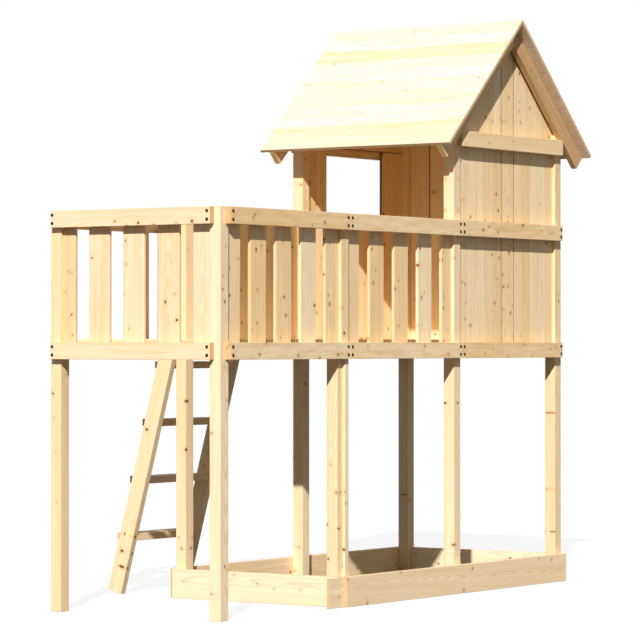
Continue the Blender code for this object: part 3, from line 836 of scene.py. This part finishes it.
class PLAYHOUSE_OT_roof_framing(Operator):
    """Rafters of both gables, and the board across the foot of each"""

    bl_idname = "playhouse.roof_framing"
    bl_label = "Roof framing"

    def execute(self, context):
        # The right rafters' darker copy of the pine is painted shade.
        woods = {"left": planed_pine("planed_pine_left_rafters"),
                 "right": planed_pine("shaded_pine_right_rafters", "rafter_")}
        for seed, gable in enumerate(("near", "far"), start=91):
            for hand, side in HANDS:
                node = f"rafter_{gable}_{side}"
                low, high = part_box(node)
                down, out = slope(hand)
                middle = (np.array(RIDGE) + down * SLOPE_LENGTH / 2
                          - out * (ROOF_THICKNESS + SEAT + RAFTER_DEPTH / 2))
                middle[1] = (low.y + high.y) / 2
                rafter = timber(middle, down, OUTWARD[gable],
                                (SLOPE_LENGTH, RAFTER_DEPTH, high.y - low.y),
                                cuts=plumb_at_ridge(hand))
                board_piece(node, [rafter], woods[side], seed + hand)
        wood = planed_pine("planed_pine_gable_bases")
        for seed, gable in enumerate(("near", "far"), start=95):
            node = f"gable_base_{gable}"
            low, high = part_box(node)
            spans = side_spans(gable, RAIL_LAYER, (low.x, high.x), (low.z, high.z))
            cuts = under_roof(ROOF_THICKNESS + SEAT + RAFTER_DEPTH)["cuts"]
            point, normal = cuts[0]
            corner = point[2] + (point[0] - low.x) * normal[0] / normal[2]
            base = board(spans, "x", "y", cuts=cuts, kinks=[(low.x, 0.0, corner)])
            board_piece(node, [base], wood, seed)
        return {"FINISHED"}


class PLAYHOUSE_OT_rails(Operator):
    """Lower and top rails of all four sides"""

    bl_idname = "playhouse.rails"
    bl_label = "Rails"

    def execute(self, context):
        # The left end's darker copy of the pine is painted shade.
        woods = {"left": planed_pine("shaded_pine_end_rails", "end_"),
                 "near": planed_pine("planed_pine_rails", patchy=0.3)}
        for seed, (node, side) in enumerate(rails(), start=71):
            axis = run_axis(side)
            low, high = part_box(node)
            spans = side_spans(side, RAIL_LAYER, (low[axis], high[axis]), (low.z, high.z))
            rail = board(spans, "xy"[axis], "yx"[axis])
            board_piece(node, [rail], woods.get(side, woods["near"]), seed)
        return {"FINISHED"}


def rails():
    """Each rail's name and side, in the names' order."""
    return [(name, name.split("_")[2]) for name in sorted(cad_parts)
            if name.startswith("rail_")]


class PLAYHOUSE_OT_bolts(Operator):
    """Blackened bolt heads near the ends of the rails"""

    bl_idname = "playhouse.bolts"
    bl_label = "Bolts"

    def execute(self, context):
        sizes = settings("bolts")
        steel = blackened_steel("blackened_steel")
        stringers = [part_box(f"ladder_stringer_{side}") for side in ("left", "right")]
        places = {side: [] for side in OUTWARD}
        for node, side in rails():
            low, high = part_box(node)
            axis = run_axis(side)
            face = face_depth(side, RAIL_LAYER[0])
            far_end = sizes.from_far_end if axis else sizes.from_end
            for along in (low[axis] + sizes.from_end, high[axis] - far_end):
                reach = sizes.head / 2
                if side == "far" and "lower" in node and any(
                        edge[0].x - reach < along < edge[1].x + reach for edge in stringers):
                    continue  # countersunk behind the ladder
                for rise in (-sizes.spread, sizes.spread):
                    height = (low.z + high.z) / 2 + rise
                    places[side].append((face, along, height) if axis else (along, face, height))
        for side, found in places.items():
            bolt_domes(f"bolt_heads_{side}", found, OUTWARD[side], steel)
        return {"FINISHED"}


def plain_timbers(nodes, along, through, wood, seed):
    """Replaces nodes that are plain boxes, each by a timber that fills its box."""
    for number, node in enumerate(nodes, start=seed):
        spans = list(zip(*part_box(node)))
        board_piece(node, [board(spans, along, through)], wood, number)


class PLAYHOUSE_OT_posts(Operator):
    """Posts, the doubling lath and the cover strip"""

    bl_idname = "playhouse.posts"
    bl_label = "Posts"

    # From 0, pale, to 1, warm, as in the photograph
    tones = {"post_near_1": 0.2, "post_near_2": 0.85, "post_near_3": 0.4, "post_far_1": 0.85,
             "post_far_2": 0.7}

    def execute(self, context):
        wood = planed_pine("planed_pine_posts", "post_", knotty=0.85)
        nodes = [f"post_{row}_{number}" for row in ("near", "far") for number in (1, 2, 3, 4)]
        for seed, node in enumerate(nodes, start=101):
            low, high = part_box(node)
            in_house = node[-1] in "34"
            up = (low.z, RIDGE.z if in_house else high.z)
            traits = under_roof() if in_house else {}
            post = board(((low.x, high.x), (low.y, high.y), up), "z", "y",
                         tone=self.tones.get(node), **traits)
            board_piece(node, [post], wood, seed)
        plain_timbers(["post_lath"], "z", "x", wood, 111)
        plain_timbers(["post_cover_strip"], "z", "y", wood, 112)
        return {"FINISHED"}


class PLAYHOUSE_OT_floor(Operator):
    """Finish of the platform's boards, and its two bearers"""

    bl_idname = "playhouse.floor"
    bl_label = "Platform floor"

    def execute(self, context):
        width = settings("boards").board_width
        for bay in (1, 2, 3):
            node = f"floor_boards_{bay}"
            low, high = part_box(node)
            count = max(1, round((high.x - low.x) / width))
            # A quarter turn brings the boards' length to X, and their row backwards to Y.
            grain = plank_grain((0.0, 0.0, -math.pi / 2), -high.x, (high.x - low.x) / count)
            wood = planed_pine(f"planed_pine_floor_{bay}", grain_of=grain)
            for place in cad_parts[node].material_slots:
                place.material = wood
        wood = planed_pine("planed_pine_bearers")
        plain_timbers(["floor_bearer_near", "floor_bearer_far"], "x", "y", wood,
                      121)
        return {"FINISHED"}


class PLAYHOUSE_OT_sandbox(Operator):
    """The sandbox's boards on edge"""

    bl_idname = "playhouse.sandbox"
    bl_label = "Sandbox"

    def execute(self, context):
        wood = planed_pine("planed_pine_sandbox", "post_", knotty=0.85)
        plain_timbers(["sandbox_near", "sandbox_far", "sandbox_corner_board"], "x", "y", wood,
                      131)
        plain_timbers(["sandbox_left", "sandbox_right"], "y", "x", wood, 135)
        return {"FINISHED"}


class PLAYHOUSE_OT_ladder(Operator):
    """The ladder's leaning stringers and its treads"""

    bl_idname = "playhouse.ladder"
    bl_label = "Ladder"

    def execute(self, context):
        wood = planed_pine("planed_pine_ladder", "post_", knotty=0.60)
        up = np.array([0.0, -math.sin(LEAN), math.cos(LEAN)])
        out = np.array([0.0, math.cos(LEAN), math.sin(LEAN)])
        rail_face = POST_FACE["far"] - RAIL_LAYER[0] + SEAT
        foot = rail_face - HEAD_BITE + HEAD_HEIGHT * math.tan(LEAN)
        reach = HEAD_HEIGHT / math.cos(LEAN)
        for seed, side in enumerate(("left", "right"), start=141):
            node = f"ladder_stringer_{side}"
            low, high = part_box(node)
            stand = np.array([(low.x + high.x) / 2, foot, 0.0])
            kink = stand + up * reach + out * HEAD_BITE / math.cos(LEAN)
            stringer = timber(stand + up * reach / 2 + out * STRINGER[0] / 2, up, (1, 0, 0),
                              (reach, *STRINGER),
                              cuts=[((0.0, rail_face, 0.0), (0.0, -1.0, 0.0))],
                              kinks=[tuple(kink)])
            board_piece(node, [stringer], wood, seed)
        treads = [f"ladder_tread_{number}" for number in (1, 2, 3, 4)]
        plain_timbers(treads, "x", "z", wood, 143)
        return {"FINISHED"}


def sun_lamp(name):
    """A sun in the photograph's place."""
    studio = settings("studio")
    light = bpy.data.lights.new(name, "SUN")
    light.energy = studio.sun * math.pi
    light.angle = studio.sun_angle
    sun = new_object(name, light)
    sun.rotation_euler = SUN_TRAVEL.to_track_quat("-Z", "Y").to_euler()
    return sun


class PLAYHOUSE_OT_stage(Operator):
    """Pale floor, soft light and the camera"""

    bl_idname = "playhouse.stage"
    bl_label = "Stage"

    def execute(self, context):
        context.scene.view_settings.view_transform = "Standard"
        self.make_floor()
        self.make_sky()
        sun_lamp("studio_sun")
        self.make_camera()
        return {"FINISHED"}

    def seen(self, tree):
        """1 for rays that the camera, a reflection or a glass sees directly."""
        path = put(tree, "LightPath")
        shiny = put(tree, "Math", (path.outputs["Is Glossy Ray"],
                                   path.outputs["Is Transmission Ray"]), "MAXIMUM")
        return put(tree, "Math", (path.outputs["Is Camera Ray"], shiny), "MAXIMUM")

    def make_floor(self):
        """A level square: (u, v) times its half side, both from -1 to 1."""
        half = 60.0
        u, v = np.meshgrid(np.linspace(-1, 1, 3), np.linspace(-1, 1, 3))
        points = np.stack([u * half, v * half, np.full_like(u, -SUNK)], -1).reshape(-1, 3)
        first = np.array([0, 1, 3, 4])
        faces = np.stack([first, first + 1, first + 4, first + 3], axis=-1)
        material, tree, shader = new_material("pale_studio_floor")
        tree.nodes.remove(shader)
        shade = settings("studio").floor_shade
        matt = put(tree, "BsdfDiffuse", {"Color": (shade, shade, shade, 1.0)})
        glow = put(tree, "Math", (self.seen(tree), 1.0 - shade), "MULTIPLY")
        both = put(tree, "AddShader", (matt, put(tree, "Emission", {"Strength": glow})))
        fill(tree.nodes["Material Output"], {"Surface": both})
        floor = mesh_object("studio_floor", points, faces.tolist(), material)

    def make_sky(self):
        """Even light from all round, white where it is seen."""
        world = bpy.data.worlds.new("studio_sky")
        bpy.context.scene.world = world
        world.use_nodes = True
        tree = world.node_tree
        sky = settings("studio").sky
        strength = put(tree, "MapRange", (self.seen(tree), 0.0, 1.0, sky, 1.0))
        fill(tree.nodes["Background"], {"Color": (1.0, 1.0, 1.0, 1.0), "Strength": strength})

    def make_camera(self):
        """The photograph's view, from 16 m away at eye height."""
        data = bpy.data.cameras.new("photograph_view")
        data.lens = settings("studio").lens
        data.sensor_width = 36.0
        data.clip_end = 300.0
        camera = new_object("photograph_view", data)
        # Solved from some sixty edges in the photograph.
        camera.location = (-13.154, -9.750, 1.4345)
        camera.rotation_euler = (math.radians(90.424), 0.0, math.radians(-55.28))
        bpy.context.scene.camera = camera


class PLAYHOUSE_OT_light_on_pieces(Operator):
    """Sun on what the first bay would shade, and shade on the far railing's inner faces"""

    bl_idname = "playhouse.light_on_pieces"
    bl_label = "Light on pieces"

    # In the photograph these stand in the sun, as if nothing of the first bay shaded them.
    in_sun = ("timber_post_far_2", "timber_post_far_3", "timber_ladder_stringer_left",
              "timber_sandbox_left", "timber_sandbox_far")
    first_bay = ("near_1", "far_1", "lower_left", "top_left", "railing_left",
                 "floor_boards_1", "bearer")
    # The inner faces of these are in the shade. Their outer faces turn away from the sun.
    in_shade = ("boards_railing_far_1", "boards_railing_far_2")

    def execute(self, context):
        scene = context.scene
        sun = scene.objects["studio_sun"]
        left_out = self.group("shaded_from_the_sun", self.in_sun + self.in_shade)
        for member in left_out.collection_objects:
            member.light_linking.link_state = "EXCLUDE"
        sun.light_linking.receiver_collection = left_out
        side_sun = sun_lamp("studio_side_sun")
        shading = [piece.name for piece in scene.objects
                   if piece.type == "MESH" and piece.name != "studio_floor"
                   and (piece.name in self.in_sun
                        or not any(part in piece.name for part in self.first_bay))]
        side_sun.light_linking.receiver_collection = self.group("in_the_side_sun", self.in_sun)
        side_sun.light_linking.blocker_collection = self.group("side_sun_shade", shading)
        return {"FINISHED"}

    def group(self, name, pieces):
        """A collection of pieces, which isn't part of the scene."""
        collection = bpy.data.collections.new(name)
        for piece in pieces:
            collection.objects.link(bpy.data.objects[piece])
        return collection


STEPS = (
    PLAYHOUSE_OT_stage,
    PLAYHOUSE_OT_posts,
    PLAYHOUSE_OT_rails,
    PLAYHOUSE_OT_bolts,
    PLAYHOUSE_OT_railings,
    PLAYHOUSE_OT_floor,
    PLAYHOUSE_OT_walls,
    PLAYHOUSE_OT_roof,
    PLAYHOUSE_OT_roof_framing,
    PLAYHOUSE_OT_sandbox,
    PLAYHOUSE_OT_ladder,
    PLAYHOUSE_OT_light_on_pieces,
)
GROUPS = {
    "playhouse_boards": PlayhouseBoards,
    "playhouse_bolts": PlayhouseBolts,
    "playhouse_finish": PlayhouseFinish,
    "playhouse_studio": PlayhouseStudio,
}


class PLAYHOUSE_PT_panel(Panel):
    """Pieces and sizes of the playhouse"""

    bl_idname = "PLAYHOUSE_PT_panel"
    bl_label = "Stilt Playhouse"
    bl_space_type = "VIEW_3D"
    bl_region_type = "UI"
    bl_category = "Playhouse"

    def draw(self, context):
        for step in STEPS:
            self.layout.operator(step.bl_idname)
        for name in GROUPS:
            box = self.layout.box()
            values = getattr(context.scene, name)
            for key in values.__annotations__:
                box.prop(values, key)


def register():
    for kind in (*GROUPS.values(), *STEPS, PLAYHOUSE_PT_panel):
        bpy.utils.register_class(kind)
    for name, kind in GROUPS.items():
        setattr(bpy.types.Scene, name, PointerProperty(type=kind))


def unregister():
    for name in GROUPS:
        delattr(bpy.types.Scene, name)
    for kind in reversed((*GROUPS.values(), *STEPS, PLAYHOUSE_PT_panel)):
        bpy.utils.unregister_class(kind)


def main():
    register()
    for step in STEPS:
        group, action = step.bl_idname.split(".")
        getattr(getattr(bpy.ops, group), action)()


if __name__ == "__main__":
    main()
